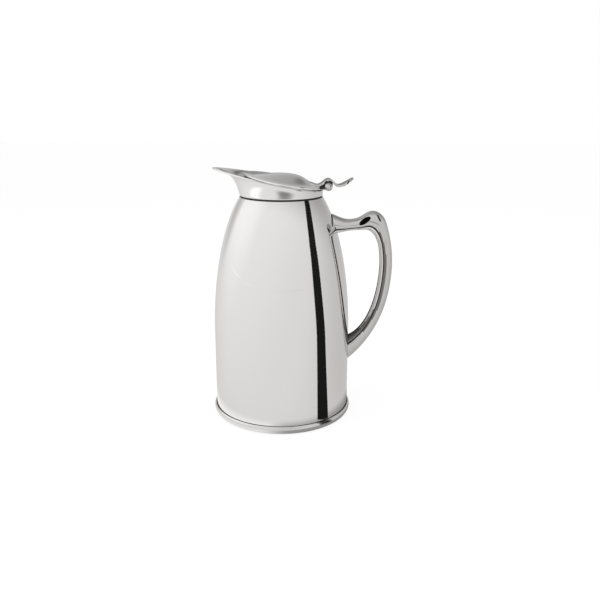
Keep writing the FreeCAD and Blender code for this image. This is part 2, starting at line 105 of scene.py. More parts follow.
def cloudy_group():
    """A value that drifts between Low and High in soft patches of the given Scale."""
    group, given, out = new_group("cloudy_value", "Value", "NodeSocketFloat", Scale=40.0, Low=0.0, High=1.0)
    place = add_node(group, "TexCoord").outputs["Object"]
    cloud = add_node(group, "TexNoise", Vector=place, Scale=given["Scale"], Detail=3.0, Roughness=0.55)
    spread = add_node(group, "MapRange", Value=cloud.outputs["Fac"], From_Min=0.32, From_Max=0.68,
                      To_Min=given["Low"], To_Max=given["High"])
    wire(group, out, spread.outputs["Result"])
    return group


cloudy = cloudy_group()
print("shared group:", cloudy.name)

# %% [markdown]
# ## Painted shade in the corners
# Where one piece meets another, little light reaches the corners. Their shade could be painted on each piece as
# well. A second group finds the corners from how much open space the surface sees around it, and darkens them on
# every piece alike as painted shade.

# %% A node group for corners
def add_color_mix(tree, **named):
    """A new node that mixes two colours."""
    node = tree.nodes.new("ShaderNodeMix")
    node.data_type = "RGBA"
    return wire(tree, node, **named)


def corner_shade_group():
    """A colour darkened towards a second colour as painted shade in narrow corners up to Reach metres wide."""
    group, given, out = new_group("painted_corner_shade", "Color", "NodeSocketColor", Clean=(0.8, 0.8, 0.8, 1),
                                  Paste=(0.05, 0.05, 0.05, 1), Reach=0.002)
    space = add_node(group, "AmbientOcclusion", Distance=given["Reach"])
    space.samples = 8
    narrow = add_node(group, "MapRange", Value=space.outputs["AO"], From_Min=0.18, From_Max=0.62)
    mix = add_color_mix(group, Factor=narrow.outputs["Result"], A=given["Paste"], B=given["Clean"])
    wire(group, out, mix.outputs["Result"])
    return group


corner_shade = corner_shade_group()
print("shared group:", corner_shade.name)

# %% [markdown]
# ## Polished and satin steel
# The outside is buffed to a mirror, so its look is what it reflects: a metal with a light grey colour and very
# little roughness, clouded by the smears, with painted shade where pieces meet. The handle, the lever and the
# hinge have a greyer polish, the foot is brushed, and the flanks of the handle's grooves are matt, their dark
# colour painted shade. The liner, the pan and the underside are left as they came from the press, with fine
# rings from turning, which spread the light. Stretching a noise pattern across the height draws those rings
# without a picture.

# %% Steel finishes
def new_finish(name, color, metallic, roughness):
    finish = bpy.data.materials.new(name)
    finish.use_nodes = True
    tree = finish.node_tree
    shader = wire(tree, tree.nodes["Principled BSDF"], Base_Color=(*color, 1), Metallic=metallic,
                  Roughness=roughness)
    return finish, tree, shader


def add_group(tree, group, **named):
    node = tree.nodes.new("ShaderNodeGroup")
    node.node_tree = group
    return wire(tree, node, **named)


def polished_finish(name, color, low, high, reach):
    """A mirror of the given colour, whose roughness drifts from low to high, with painted shade in its corners."""
    finish, tree, shader = new_finish(name, color, metallic=1.0, roughness=low)
    smears = add_group(tree, cloudy, Scale=55.0, Low=low, High=high)
    # painted shade: the colour goes dark in narrow corners
    shaded_corners = add_group(tree, corner_shade, Clean=(*color, 1), Paste=(0.03, 0.028, 0.026, 1), Reach=reach)
    wire(tree, shader, Base_Color=shaded_corners.outputs["Color"], Roughness=smears.outputs["Value"])
    return finish


def satin_finish(name, color):
    """Steel as it came from the press, with fine rings from turning and painted shade in its corners."""
    finish, tree, shader = new_finish(name, color, metallic=1.0, roughness=0.3)
    place = add_node(tree, "TexCoord").outputs["Object"]
    stretch = add_node(tree, "Mapping", Vector=place, Scale=(18.0, 18.0, 2600.0))
    rings = add_node(tree, "TexNoise", Vector=stretch.outputs["Vector"], Scale=1.0, Detail=2.0)
    bump = add_node(tree, "Bump", Height=rings.outputs["Fac"], Strength=0.12, Distance=0.0002)
    wear = add_group(tree, cloudy, Scale=70.0, Low=0.24, High=0.38)
    shaded_corners = add_group(tree, corner_shade, Clean=(*color, 1), Paste=(0.12, 0.115, 0.11, 1), Reach=0.002)
    wire(tree, shader, Base_Color=shaded_corners.outputs["Color"], Roughness=wear.outputs["Value"],
         Normal=bump.outputs["Normal"])
    return finish


polished = polished_finish("polished_steel", (0.82, 0.805, 0.795), low=0.03, high=0.075, reach=0.0016)
casting = polished_finish("polished_casting", (0.6, 0.59, 0.58), low=0.05, high=0.1, reach=0.003)
# A rougher steel whose near-black colour is painted shade on the handle's groove flanks and lower root.
dull_shaded = polished_finish("dull_shaded_casting", (0.19, 0.185, 0.18), low=0.25, high=0.35, reach=0.003)
brushed = polished_finish("brushed_steel", (0.72, 0.71, 0.7), low=0.2, high=0.3, reach=0.0016)
satin = satin_finish("satin_steel", (0.66, 0.655, 0.645))
print("finishes:", polished.name, casting.name, dull_shaded.name, brushed.name, satin.name)

# %% [markdown]
# ## Rubber, painted shade, foil, powder and foam
# The gasket is moulded silicone, black and a little dusty. A near-black steel stands for painted shade where little
# light gets in: inside the handle, along its weld, in its grooves and on the lever's cheeks. The rest sits inside
# the walls and shows only if the jug is taken apart: bright foil that crinkled when it was wound on, a pellet of
# pressed metal powder, and a disc of foam in the lid. Each gets a grain of its own size from noise or cells, which
# is enough at that size.

# %% Finishes of the small and hidden pieces
def grained_finish(name, dark, light, metallic, roughness, scale, depth, cells):
    """A finish whose two colours and whose bump follow one grain."""
    finish, tree, shader = new_finish(name, light, metallic, roughness)
    place = add_node(tree, "TexCoord").outputs["Object"]
    grain = add_node(tree, "TexVoronoi" if cells else "TexNoise", Vector=place, Scale=scale)
    height = grain.outputs["Distance" if cells else "Fac"]
    shade = add_color_mix(tree, Factor=height, A=(*dark, 1), B=(*light, 1))
    bump = add_node(tree, "Bump", Height=height, Strength=0.4, Distance=depth)
    wear = add_group(tree, cloudy, Scale=scale / 8, Low=roughness * 0.8, High=roughness * 1.2)
    wire(tree, shader, Base_Color=shade.outputs["Result"], Roughness=wear.outputs["Value"],
         Normal=bump.outputs["Normal"])
    return finish


grains = {  # dark and light colour, metallic, roughness, scale and depth of the grain, whether it has cells
    "black_rubber": ((0.006, 0.006, 0.006), (0.016, 0.016, 0.015), 0.0, 0.6, 900.0, 0.00005, False),
    # the near-black steel is painted shade: the handle's inside, weld and groove bottoms and the lever's cheeks
    "shade_painted_steel": ((0.015, 0.014, 0.013), (0.05, 0.047, 0.044), 0.5, 0.7, 800.0, 0.0001, False),
    "bright_foil": ((0.78, 0.78, 0.79), (0.88, 0.88, 0.89), 1.0, 0.18, 160.0, 0.0003, True),
    "getter_metal": ((0.16, 0.16, 0.17), (0.3, 0.3, 0.31), 0.6, 0.6, 1500.0, 0.0001, False),
    "white_foam": ((0.78, 0.78, 0.73), (0.88, 0.88, 0.84), 0.0, 0.8, 700.0, 0.0002, True),
}
finish_of = {"polished_steel": polished, "satin_steel": satin}
for name, values in grains.items():
    finish_of[name] = grained_finish(name, *values)
shade_painted_steel = finish_of["shade_painted_steel"]
print("finishes:", sorted(finish_of))

# %% [markdown]
# ## Dressing the solids that stay
# A solid whose shape is right as it is keeps its own mesh and only changes its finish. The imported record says
# which finish each solid has, so the list isn't typed a second time. The hinge's bracket and pin then take the
# greyer polish.

# %% Give each solid its finish
for row in frame["record"]["subparts"]:
    solid = frame["nodes"][row["node"]]
    solid.data.materials.clear()
    solid.data.materials.append(finish_of[row["material_slot"]])
for name in ("hinge_bracket", "hinge_pin"):
    frame["nodes"][name].data.materials[0] = casting

# %% [markdown]
# ## Turned pieces: shell, foot ring and gasket
# The body, its foot and the gasket are round, as if they came from a lathe. Each is drawn as one closed outline
# of a few points beside the axis, and the spin operator carries it round. A smooth mirror needs many steps:
# with 144 of them the silhouette and the reflections show no corners.

# %% Helpers for turning and hanging pieces
turn_count, weld_reach, crease = 144, 0.001, math.radians(35)


def turned(outline):
    """The closed outline, pairs of radius and height in millimetres, spun round the jug's axis."""
    bm = bmesh.new()
    verts = [bm.verts.new((x * MM, 0, z * MM)) for x, z in outline]
    edges = [bm.edges.new(ends) for ends in zip(verts, verts[1:] + verts[:1])]
    bmesh.ops.spin(bm, geom=verts + edges, cent=(0, 0, 0), axis=(0, 0, 1), angle=2 * math.pi, steps=turn_count,
                   use_merge=True)
    return bm


def close_up(bm):
    """Welds doubled points and turns every face outwards."""
    bmesh.ops.remove_doubles(bm, verts=bm.verts, dist=weld_reach * MM)
    bmesh.ops.recalc_face_normals(bm, faces=bm.faces)


def as_object(name, bm, *finishes):
    """A new object in the scene from a mesh that is ready."""
    mesh = bpy.data.meshes.new(name)
    bm.to_mesh(mesh)
    bm.free()
    for finish in finishes:
        mesh.materials.append(finish)
    made = bpy.data.objects.new(name, mesh)
    scene.collection.objects.link(made)
    return made


def hang(name, bm, slot, body, *solids, finishes=()):
    """Puts a finished mesh in the place of its solids, on the body that carries it."""
    piece = as_object(name, bm, *(finishes or (finish_of[slot],)))
    piece.data.shade_smooth()
    piece.data.set_sharp_from_angle(angle=crease)
    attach(piece, body)
    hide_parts(*solids)
    size = [round(v / MM, 1) for v in piece.dimensions]
    print(name, "faces", len(piece.data.polygons), "size", size)


print("round pieces turn in", turn_count, "steps")

# %% [markdown]
# ## The polished shell
# The body is drawn from sheet: upright to 80 mm, then one long curve in to the neck. A Bezier curve with its
# handles along the side and along the shoulder's lean gives that curve in one piece, so no ripple shows in the
# mirror. The inner wall follows it 0.6 mm inside.

# %% Spin the shell
body_radius, straight_top, shoulder_top = 60.5, 80.0, 196.8
shoulder_lean, low_pull, high_pull = math.radians(31.8), 30.0, 36.4
shell_wall, shell_bottom, straight_steps, curve_steps = 0.6, 2.0, 6, 40
neck_outer, neck_inner, neck_top = 33.9, 33.3, 201.0
collar_radius = 36.0


def side_outline(radius, neck, bottom, top):
    """The side from the bottom up: straight, then curving in to the neck."""
    start, end = Vector((radius, straight_top)), Vector((neck, top))
    low = start + Vector((0, low_pull))
    high = end + Vector((math.sin(shoulder_lean), -math.cos(shoulder_lean))) * high_pull
    rise = (straight_top - bottom) / straight_steps
    straight = [(radius, bottom + rise * n) for n in range(straight_steps)]
    return straight + [tuple(p) for p in interpolate_bezier(start, low, high, end, curve_steps)]


outside = side_outline(body_radius, collar_radius, shell_bottom, shoulder_top)
over_neck = [(neck_outer, shoulder_top), (neck_outer, neck_top), (neck_inner, neck_top),
             (neck_inner, shoulder_top - shell_wall)]
inside = side_outline(body_radius - shell_wall, collar_radius - shell_wall, shell_bottom, shoulder_top - shell_wall)
shell = turned(outside + over_neck + inside[::-1])
close_up(shell)
hang("jug_shell", shell, "polished_steel", "body", "outer_shell")

# %% [markdown]
# ## The beaded foot ring
# The body stands on a ring with a rounded bead, which hides the seam of the base. The bead is an arc through
# its lower end, its widest line and its top, so three points say all of it. A small groove above it marks the
# joint with the body.

# %% Spin the foot ring
fit_gap, foot_height, ledge, foot_inner = 0.05, 7.5, 2.0, 55.5
foot_bore = body_radius + fit_gap
bead_low, bead_wide, bead_wide_at, bead_top, bead_steps = 58.5, 62.5, 3.3, foot_bore + 0.9, 24
groove_mouth, groove_depth, foot_round = foot_bore + 0.55, 0.9, 0.15
sharp_from, round_steps = math.radians(50), 3


def arc_through(first, middle, last, steps):
    """Points along the circle through three points."""
    a, b, c = Vector(first), Vector(middle), Vector(last)
    d = 2 * (a.x * (b.y - c.y) + b.x * (c.y - a.y) + c.x * (a.y - b.y))
    x = (a.length_squared * (b.y - c.y) + b.length_squared * (c.y - a.y) + c.length_squared * (a.y - b.y)) / d
    y = (a.length_squared * (c.x - b.x) + b.length_squared * (a.x - c.x) + c.length_squared * (b.x - a.x)) / d
    radius = (a - Vector((x, y))).length
    start, end = math.atan2(a.y - y, a.x - x), math.atan2(c.y - y, c.x - x)
    angles = [start + (end - start) * n / steps for n in range(steps + 1)]
    return [(x + radius * math.cos(angle), y + radius * math.sin(angle)) for angle in angles]


def soften(bm, edges, width, steps):
    """Bevels the given edges."""
    bmesh.ops.bevel(bm, geom=edges, offset=width * MM, offset_type="OFFSET", affect="EDGES", segments=steps,
                    profile=0.5, material=-1, clamp_overlap=True)


def round_over(bm, width):
    """Bevels all the sharp edges."""
    sharp = [e for e in bm.edges if e.is_manifold and e.calc_face_angle() > sharp_from]
    soften(bm, sharp, width, round_steps)


bead = arc_through((bead_low, 0), (bead_wide, bead_wide_at), (bead_top, foot_height), bead_steps)
groove = [(groove_mouth, foot_height), (foot_bore, foot_height - groove_depth)]
foot = turned(bead + groove + [(foot_bore, ledge), (foot_inner, ledge), (foot_inner, 0)])
close_up(foot)
round_over(foot, foot_round)
hang("foot_bead", foot, "polished_steel", "body", "foot_ring", finishes=(brushed,))

# %% [markdown]
# ## The gasket
# A black silicone ring lies between the shoulder and the collar. Only its edge shows, as a dark line that
# parts the body from the collar. It sits a little back from both, so its corners are softened and the line
# stays crisp.

# %% Spin the gasket
gasket_inner, gasket_edge, gasket_top, gasket_round = 33.95, 35.3, 198.4, 0.12
sleeve_outer, sleeve_top = 34.75, 200.4
gasket = turned([(gasket_inner, shoulder_top), (gasket_edge, shoulder_top), (gasket_edge, gasket_top),
                 (sleeve_outer, gasket_top), (sleeve_outer, sleeve_top), (gasket_inner, sleeve_top)])
close_up(gasket)
round_over(gasket, gasket_round)
hang("neck_gasket_ring", gasket, "black_rubber", "body", "neck_gasket")

# %% [markdown]
# ## Sheets drawn out from a line
# The collar, the lid and the handle are bent from sheet, and none of them is round. Their surfaces could be
# sculpted. Here a line of points at one end is drawn out by the extrude operator, and each new row is moved to
# its own points, so every row lies exactly where it belongs.

# %% Helpers for drawing out a sheet
def line_through(bm, points, closed=True):
    """Edges through the points, in millimetres, closed to a loop or left open."""
    verts = [bm.verts.new(point * MM) for point in points]
    following = verts[1:] + verts[:1] if closed else verts[1:]
    return [bm.edges.new(ends) for ends in zip(verts, following)]


def drawn_out(lines, closed=True):
    """A sheet drawn out from the first line of points through all the others, and its rows of vertices."""
    bm = bmesh.new()
    edges = line_through(bm, lines[0], closed)
    rows = [bm.verts[:]]
    for points in lines[1:]:
        drawn = bmesh.ops.extrude_edge_only(bm, edges=edges)["geom"]
        edges = [part for part in drawn if isinstance(part, bmesh.types.BMEdge)]
        copies = {tuple(part.co): part for part in drawn if isinstance(part, bmesh.types.BMVert)}
        rows.append([copies[tuple(vert.co)] for vert in rows[-1]])
        for vert, point in zip(rows[-1], points):
            vert.co = point * MM
    return bm, rows


def thicken(bm, turn_over, wall, rounding):
    """Gives a sheet its wall, turned over first if need be, and rounds its sharp edges."""
    if turn_over:
        bmesh.ops.reverse_faces(bm, faces=bm.faces)
    bmesh.ops.solidify(bm, geom=bm.faces[:], thickness=wall * MM)
    close_up(bm)
    round_over(bm, rounding)


around = 128
turns = [2 * math.pi * n / around for n in range(around)]
print("collar and lid have", around, "points in each loop")

# %% [markdown]
# ## The flared collar and its lip
# The collar starts as a plain ring on the neck and is drawn out in front into a long lip, so its upper edge is
# half an ellipse behind and a blunt point ahead, all in one slanting plane. Its foot is drawn out to the rim, one
# step of height after another, then the sheet gets its thickness and the rim a small round edge, which catches
# the light.

# %% Draw out the collar
collar_bottom, rim_half_width, spout_reach, spout_point = 198.4, 37.3, 59.0, 1.5
rim_rear, spout_rise, collar_wall, collar_steps, rim_round = 202.4, 17.6, 1.2, 18, 0.3
rim_slope = spout_rise / (spout_reach + collar_radius)
rim_mid = rim_rear + collar_radius * rim_slope
throat_across, throat_up = (0, 0.143, 0.32, 1), (0, 0.61, 0.935, 1)


def cubic(values, share):
    """A share of the way along a cubic Bezier curve."""
    rest = 1 - share
    return np.dot(values, (rest ** 3, 3 * rest ** 2 * share, 3 * rest * share ** 2, share ** 3))


def rim_point(angle):
    """A point of the upper edge: angle 0 is behind, pi is the lip's tip."""
    c, s = math.cos(angle), math.sin(angle)
    if c >= 0:
        x, y = collar_radius * c, rim_half_width * s
    else:
        x = -spout_reach * abs(c) ** (2 / spout_point)
        y = math.copysign(rim_half_width * abs(s) ** (2 / spout_point), s)
    return Vector((x, y, rim_mid - x * rim_slope))


def collar_point(angle, share):
    """A point of the outside, from the lower edge at share 0 to the rim at share 1."""
    rim = rim_point(angle)
    foot_point = Vector((rim.x, rim.y, 0)).normalized() * collar_radius + Vector((0, 0, collar_bottom))
    span = rim - foot_point
    across, up = cubic(throat_across, share), cubic(throat_up, share)
    return foot_point + Vector((span.x * across, span.y * across, span.z * up))


collar, _ = drawn_out([[collar_point(a, k / collar_steps) for a in turns] for k in range(collar_steps + 1)])
close_up(collar)
facing_out = sum(f.normal.xy.dot(f.calc_center_median().xy) for f in collar.faces)
thicken(collar, facing_out < 0, collar_wall, rim_round)
hang("pouring_collar", collar, "polished_steel", "body", "spout_collar")

# %% [markdown]
# ## The domed lid
# The lid is pressed from one sheet: an edge that turns down all round, a flat flange and a bell-shaped dome, whose
# top lies behind the middle. The sheet is drawn out from its edge inwards, in loops that shrink towards that top
# while they rise. It is made flat and then tilted into the plane of the collar's rim, as the press would leave it
# and the fitter would set it.

# %% Draw out and tilt the lid
lid_rear, lid_front, lid_half_width = 35.2, 33.0, 36.4
flange_width, lid_seat, lid_sheet, edge_turn, lid_round = 3.0, 1.5, 0.9, 0.85, 0.25
dome_height, dome_top_x, dome_steps, dome_tip = 6.5, 11.0, 20, 0.02
flange_top, dome_sink = lid_seat + lid_sheet, lid_sheet / 3
on_rim = Matrix.Translation((0, 0, rim_mid * MM)) @ Matrix.Rotation(math.atan(rim_slope), 4, "Y")


def cap(bm, row):
    """Closes the loop of a row of vertices with one face."""
    ring = set(row)
    bmesh.ops.edgeloop_fill(bm, edges=[edge for edge in bm.edges if ring.issuperset(edge.verts)])


def lid_edge(inset, height):
    """The lid's outline, or a line inset from it."""
    points = []
    for a in turns:
        reach = (lid_rear if math.cos(a) >= 0 else lid_front) - inset
        points.append(Vector((reach * math.cos(a), (lid_half_width - inset) * math.sin(a), height)))
    return points


def dome_loop(share):
    """The dome's outline drawn in towards its top, at the height that belongs there."""
    top = Vector((dome_top_x, 0, flange_top - dome_sink))
    rise = Vector((0, 0, dome_height * (1 - share ** 2) ** 2))
    return [top + (point - top) * share + rise for point in lid_edge(flange_width, top.z)]


dome_foot = math.sqrt(1 - math.sqrt(dome_sink / dome_height))
shares = [dome_foot * (1 - n / dome_steps) for n in range(dome_steps)] + [dome_tip]
flange = [lid_edge(0, lid_seat - edge_turn), lid_edge(0, flange_top)]
lid, lid_rows = drawn_out(flange + [dome_loop(share) for share in shares])
cap(lid, lid_rows[-1])
close_up(lid)
top_face = max(lid.faces, key=lambda f: f.calc_center_median().z)
thicken(lid, top_face.normal.z < 0, lid_sheet, lid_round)
bmesh.ops.transform(lid, matrix=on_rim, verts=lid.verts)
hang("lid_dome", lid, "polished_steel", "lid", "lid_cap")

# %% [markdown]
# ## Bent line of the lever
# A strip of sheet runs from the dome over the pin and out to a leaf for the thumb. Two lines describe it: its bend
# seen from the side, and its edge seen from above. Both are smooth curves through a few points. A curve object
# could be used, but its handles would have to be set by eye, and a cubic spline needs only the points.

# %% Bend and edge of the lever
hinge = Vector((40.6, 0, 206.0))
strip, arch_radius, arch_spread = 1.6, 4.4, math.radians(60)
strap_reach, strap_rise, strap_half, valley_reach, valley_drop = 22.0, 3.6, 4.0, 9.0, 0.4
leaf_start, leaf_middle, leaf_length, leaf_half, leaf_rise = 7.4, 14.6, 21.8, 7.8, 6.0
cheek_start, cheek_end = 4.6, 7.2
bend_steps, length_steps, width_steps, overlap, lever_round = 200, 96, 12, 3, 0.35


def curve_through(points, run, stops):
    """Points at the given stops of the smooth curve that passes each given point at its place in run."""
    points, run = np.array(points, float), np.array(run, float)
    step, count = np.diff(run), len(points)
    system, pull = np.eye(count), np.zeros_like(points)
    for k in range(1, count - 1):
        system[k, k - 1:k + 2] = step[k - 1], 2 * (step[k - 1] + step[k]), step[k]
        pull[k] = 6 * ((points[k + 1] - points[k]) / step[k] - (points[k] - points[k - 1]) / step[k - 1])
    bend = np.linalg.solve(system, pull)
    found = []
    for stop in stops:
        k = int(np.clip(np.searchsorted(run, stop, side="right") - 1, 0, count - 2))
        a = (run[k + 1] - stop) / step[k]
        b = 1 - a
        found.append(a * points[k] + b * points[k + 1]
                     + ((a ** 3 - a) * bend[k] + (b ** 3 - b) * bend[k + 1]) * step[k] ** 2 / 6)
    return np.array(found)


arch_back, arch_up = arch_radius * math.sin(arch_spread), arch_radius * math.cos(arch_spread)
bends = [(-strap_reach, strap_rise), (-(strap_reach + valley_reach) / 2, strap_rise / 3),
         (-valley_reach, -valley_drop), (-arch_back, arch_up), (0, arch_radius), (arch_back, arch_up),
         (leaf_start, -valley_drop), (leaf_middle, leaf_rise / 5), (leaf_length, leaf_rise)]
bend_run = np.concatenate([[0], np.cumsum(np.linalg.norm(np.diff(np.array(bends), axis=0), axis=1))])
underside = curve_through(bends, bend_run, np.linspace(0, bend_run[-1], bend_steps))
side = [(-strap_reach, 0), (-strap_reach + strap_half / 2, strap_half),
        (-valley_reach, (strap_half + cheek_end) / 2), (0, cheek_end),
        (leaf_start, (strap_half + leaf_half) / 2), (leaf_middle, leaf_half),
        (leaf_length - strip, leaf_half / 2), (leaf_length, 0)]
before = [(x, -y) for x, y in side[overlap:0:-1]]
after = [(x, -y) for x, y in side[-2:-2 - overlap:-1]]
stops = np.linspace(overlap, overlap + len(side) - 1, length_steps + 1)
plan = curve_through(before + side + after, range(2 * overlap + len(side)), stops)
print("lever:", len(underside), "points of its bend,", len(plan), "of its edge")

# %% [markdown]
# ## The thumb lever
# The strip starts as a flat grid: one direction of the grid follows the lever's length, the other its width, and
# each point is lifted to the bent line. Two cheeks with eyes for the pin hang under the bend, painted dark as
# shade, with a short web towards the lid. Each cheek is a plate with a hole: two loops on each face, bridged all
# round.

# %% Bend the lever and add its cheeks
barrel_radius, pin_bore, web_reach, web_low, web_high, cheek_steps = 3.5, 1.55, 6.3, -0.42, 0.18, 48
# The dark finish of a piece is painted shade: on the lever's cheeks, and inside the handle, on its weld and in its
# grooves.
PAINTED_SHADE = 1  # which of a piece's finishes is dark
lever = bmesh.new()
bmesh.ops.create_grid(lever, x_segments=length_steps, y_segments=width_steps, size=1)
for vert in lever.verts:
    back, half = plan[round((vert.co.x + 1) / 2 * length_steps)]
    lift = np.interp(back, underside[:, 0], underside[:, 1])
    vert.co = (hinge + Vector((back, vert.co.y * half, lift))) * MM
close_up(lever)
facing_up = sum(f.normal.z for f in lever.faces)
thicken(lever, facing_up > 0, strip, lever_round)


def cheek_reach(way):
    """How far a cheek reaches from the pin in a direction: round, up into the arch, and out along the web."""
    if way.x < 0 and web_low < way.z < web_high:
        return web_reach
    if way.z > 0:
        return min(barrel_radius / max(abs(way.x), 1e-6), arch_radius + strip / 2)
    return barrel_radius


def add_cheek(bm, start, end):
    """A plate painted dark as shade, with an eye round the pin, between two places along the pin."""
    angles = [2 * math.pi * n / cheek_steps for n in range(cheek_steps)]
    ways = [Vector((math.cos(a), 0, math.sin(a))) for a in angles]
    near, far = hinge + Vector((0, start, 0)), hinge + Vector((0, end, 0))
    loops = [line_through(bm, [near + way * pin_bore for way in ways]),
             line_through(bm, [near + way * cheek_reach(way) for way in ways]),
             line_through(bm, [far + way * cheek_reach(way) for way in ways]),
             line_through(bm, [far + way * pin_bore for way in ways])]
    for first, second in zip(loops, loops[1:] + loops[:1]):
        for face in bmesh.ops.bridge_loops(bm, edges=first + second)["faces"]:
            face.material_index = PAINTED_SHADE


add_cheek(lever, cheek_start, cheek_end)
add_cheek(lever, -cheek_end, -cheek_start)
bmesh.ops.recalc_face_normals(lever, faces=lever.faces)
hang("thumb_lever", lever, "polished_steel", "lid", "lid_lever", finishes=(casting, shade_painted_steel))

# %% [markdown]
# ## Ball ends on the pin
# Each end of the hinge pin carries a polished ball with a flat towards the cheek. A sphere cut by one plane,
# with the cut filled, is that shape exactly.

# %% Cut the two balls
ball_radius, ball_flat, ball_middle = 3.4, 7.5, 9.5
balls = bmesh.new()
for way in (1, -1):
    made = bmesh.ops.create_uvsphere(balls, u_segments=48, v_segments=24, radius=ball_radius * MM)
    middle = hinge + Vector((0, way * ball_middle, 0))
    bmesh.ops.transform(balls, matrix=Matrix.Translation(middle * MM) @ Matrix.Rotation(math.pi / 2, 4, "X"),
                        verts=made["verts"])
    mine = [v for v in balls.verts if v.co.y * way > 0]
    faces = {f for v in mine for f in v.link_faces}
    edges = {e for v in mine for e in v.link_edges}
    cut = bmesh.ops.bisect_plane(balls, geom=[*mine, *edges, *faces], plane_co=(0, way * ball_flat * MM, 0),
                                 plane_no=(0, way, 0), clear_inner=True)
    rim = [g for g in cut["geom_cut"] if isinstance(g, bmesh.types.BMEdge)]
    bmesh.ops.edgeloop_fill(balls, edges=rim)
close_up(balls)
hang("pin_balls", balls, "polished_steel", "body", "pin_caps", finishes=(casting,))

# %% [markdown]
# ## Sections of the hollow handle
# The handle is two pressed halves welded along the middle, so outside it is one skin. Its section changes all
# the way: deep at the roots, slim in the arm, high at the thumb rise, even in the grip. Sections are set square
# to the run at seventeen places, and smooth curves through their inner and outer ends give all the loops
# between. A fine groove runs along each side of the finger strip, so the loops are set in a little there.

# %% Sections of the handle
arm, low_root, setback = 172.4, 57.5, 32.2
grip, arm_deep, rise, top_root, foot_root, sink = 11.2, 9.8, 17.2, 19.0, 23.0, 18.0
span = arm - low_root
stations = [  # how far out from the body's side, height, lean in degrees, depth and width
    (-sink - body_radius / 6, arm + 0.15 * arm_deep, -10, top_root, 18.0),
    (-sink, arm + 0.1 * arm_deep, -9, top_root, 18.0),
    (-0.165 * setback, arm - 0.04 * arm_deep, -7, 1.14 * arm_deep, 15.5),
    (0.093 * setback, arm, -6, arm_deep, 13.0),
    (0.31 * setback, arm + 0.15 * arm_deep, -3, 0.7 * rise, 15.0),
    (0.534 * setback, arm + 0.35 * arm_deep, 9, rise, 15.0),
    (0.725 * setback, arm + 0.05 * arm_deep, 24, 1.05 * rise, 15.0),
    (0.866 * setback, arm - 0.064 * span, 34, 1.4 * grip, 13.0),
    (0.953 * setback, arm - 0.16 * span, 55, 1.1 * grip, 13.0),
    (setback, arm - 0.31 * span, 83, grip, 13.0),
    (0.964 * setback, arm - 0.458 * span, 98, grip, 13.0),
    (0.842 * setback, arm - 0.626 * span, 106, grip, 13.0),
    (0.654 * setback, arm - 0.761 * span, 115, grip, 13.0),
    (0.427 * setback, low_root + 0.135 * span, 138, 1.13 * grip, 13.0),
    (0.16 * setback, low_root + 0.053 * span, 166, 0.75 * foot_root, 15.5),
    (-0.2 * sink, low_root, 181, foot_root, 18.0),
    (-sink, low_root - 0.13 * foot_root, 185, 1.2 * foot_root, 18.0),
]
fullness, handle_steps = 0.045, 121
set_in = {95: 0.04, 100: 0.1, 110: 0.3, 115: 0.7, 120: 0.15}  # how deep the groove is, by degrees round the loop
set_in.update({360 - turn: depth for turn, depth in set_in.items()})
turn_steps = sorted({*range(0, 360, 10), *set_in})


def handle_loops():
    """Loops of points round the handle, from the upper root to the lower one."""
    rows, centres = [], []
    for outward, height, lean, depth, width in stations:
        way = Vector((math.sin(math.radians(lean)), math.cos(math.radians(lean)))) * depth / 2
        middle = Vector((body_radius + outward, height))
        rows.append((*(middle - way), *(middle + way), width / 2))
        centres.append(middle)
    run = np.concatenate([[0], np.cumsum([(b - a).length for a, b in zip(centres, centres[1:])])])
    for row in curve_through(rows, run, np.linspace(0, run[-1], handle_steps)):
        finger_side, outer_side = Vector((row[0], 0, row[1])), Vector((row[2], 0, row[3]))
        middle, reach = (finger_side + outer_side) / 2, (outer_side - finger_side) / 2
        loop = []
        for turn in turn_steps:
            a = math.radians(turn)
            c = (math.cos(a) - fullness * math.cos(3 * a)) / (1 - fullness)
            s = (math.sin(a) + fullness * math.sin(3 * a)) / (1 - fullness)
            point = reach * c + Vector((0, row[4] * s, 0))
            point -= point.normalized() * set_in.get(turn, 0)
            loop.append(middle + point)
        yield loop


handle, handle_rows = drawn_out(list(handle_loops()))
print("handle:", len(stations), "sections,", len(handle_rows), "loops of", len(turn_steps), "points")

# %% [markdown]
# ## Painted light and shade on the handle
# The finger strip takes the brighter polish as painted light, with the weld in its middle painted dark as shade,
# and towards the lower root it turns to a rougher steel painted dark as shade. The bottoms of the grooves are
# painted dark as shade, and the flank beside each groove is matt along the grip, its dark colour painted shade
# too. Each face gets its finish from how many degrees it lies away from the weld, which needs no mask in an image.

# %% Share out the handle's finishes
weld_half, strip_half, groove_end, weld_turn = 20, 60, 70, 180  # degrees round the loop
flank_steps = {80: (0.4, 0.5), 85: (0.65, 1.5), 90: (0.78, 2.6)}  # degrees: from how far out and down
strip_from, strip_to = low_root + 0.12 * span, low_root + 0.34 * span
handle_finishes = (casting, shade_painted_steel, polished, dull_shaded)
# Index 2 takes the brighter polish as painted light on the strip; index 3 the rough dark steel as painted shade.
PAINTED_LIGHT, DULL_SHADED = 2, 3


def flank_width(face):
    """How far the groove's matt flank, painted dark as shade, reaches from the weld at a face, in degrees."""
    place = face.calc_center_median() / MM
    return max((width for width, (out, down) in flank_steps.items()
                if place.x > body_radius + out * setback and place.z < arm - down * arm_deep), default=0)


def strip_width(face):
    """How far the finger strip's painted light reaches from the weld at a face, in degrees."""
    height = face.calc_center_median().z / MM
    return np.interp(height, (strip_from, strip_to), (weld_half, strip_half))


